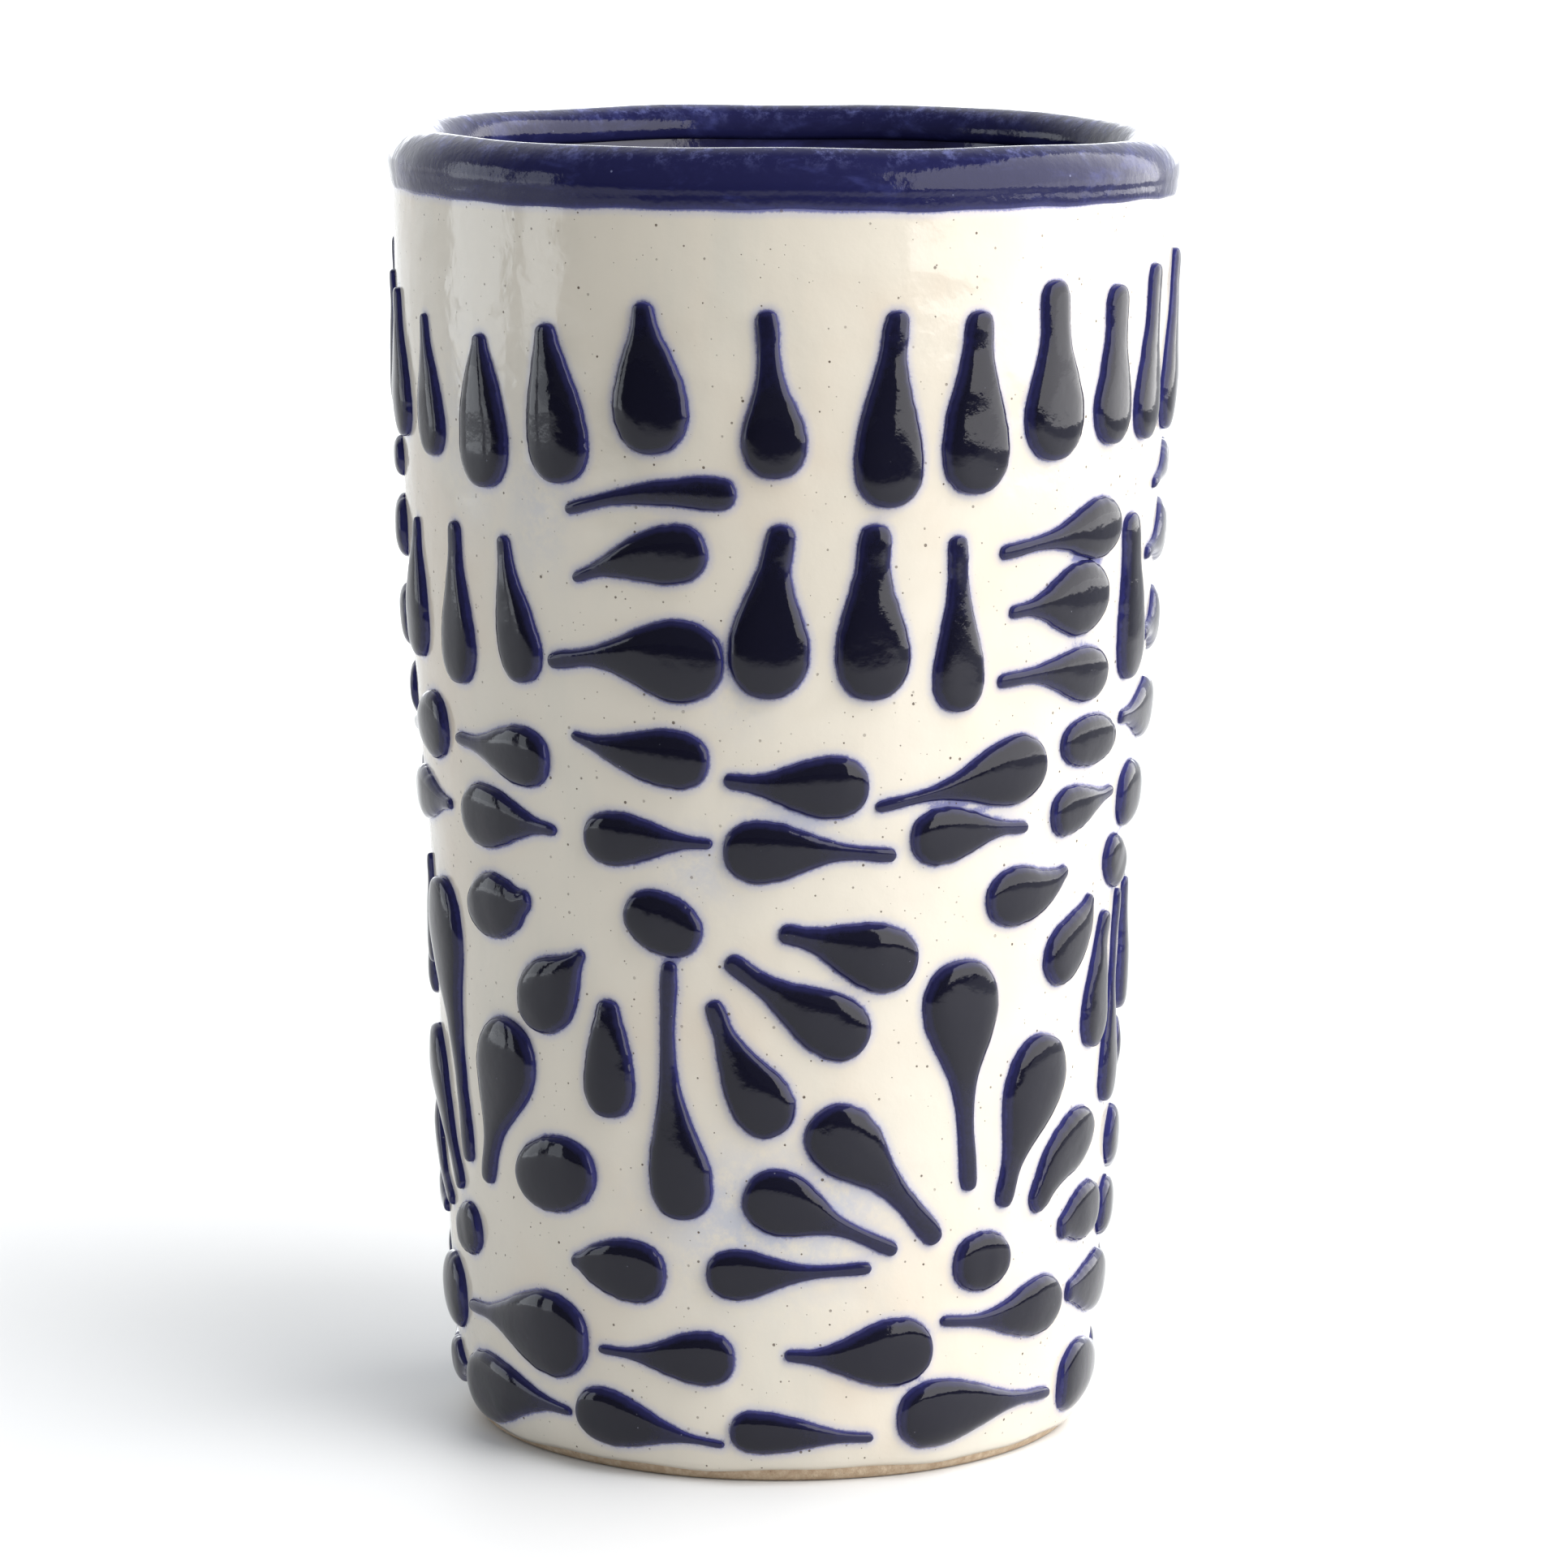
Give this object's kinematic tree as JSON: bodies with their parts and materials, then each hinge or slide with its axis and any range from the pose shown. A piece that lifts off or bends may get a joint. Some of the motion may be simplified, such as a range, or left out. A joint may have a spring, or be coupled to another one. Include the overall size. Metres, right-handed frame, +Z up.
{
  "type": "pottery vase",
  "caption": "Round pottery vase, slightly flared, open at the top: clay body, cream glaze outside, dark blue rim and inside, raised blue teardrops in fans and bands.",
  "frame": {"origin": "centre of the foot, on the surface the vase stands on", "axes": "+Z up along the vase's axis; the decorated front faces -Y"},
  "size_m": [0.0904, 0.0906, 0.15],
  "materials": {
    "clay": "bare fired earthenware, matt warm brown",
    "cream_glaze": "glossy cream tin glaze with fine dark specks",
    "rim_glaze": "glossy cobalt glaze, lighter along the crest of the lip",
    "inner_glaze": "glossy dark cobalt glaze",
    "slip": "thick raised glossy navy slip, bright cobalt where it thins at its edge"
  },
  "bodies": {
    "root": {"clay_body": "clay", "cream_outer_glaze": "cream_glaze", "cobalt_rim_glaze": "rim_glaze", "cobalt_inner_glaze": "inner_glaze", "upper_upright_drops": "slip", "upper_upright_drops_back": "slip", "lower_upright_drops": "slip", "lower_upright_drops_back": "slip", "left_stack_drops": "slip", "left_stack_drops_back": "slip", "right_stack_drops": "slip", "right_stack_drops_back": "slip", "side_stack_drops": "slip", "side_stack_drops_back": "slip", "upper_wave_drops": "slip", "upper_wave_drops_back": "slip", "lower_wave_drops": "slip", "lower_wave_drops_back": "slip", "filler_drops": "slip", "filler_drops_back": "slip", "wide_fan_petals": "slip", "wide_fan_petals_back": "slip", "wide_fan_dot": "slip", "wide_fan_dot_back": "slip", "hanging_fan_petals": "slip", "hanging_fan_petals_back": "slip", "hanging_fan_dot": "slip", "hanging_fan_dot_back": "slip", "tall_fan_petals": "slip", "tall_fan_petals_back": "slip", "tall_fan_dot": "slip", "tall_fan_dot_back": "slip", "low_course_drops": "slip", "low_course_drops_back": "slip", "foot_course_drops": "slip", "foot_course_drops_back": "slip"}
  },
  "joints": []
}
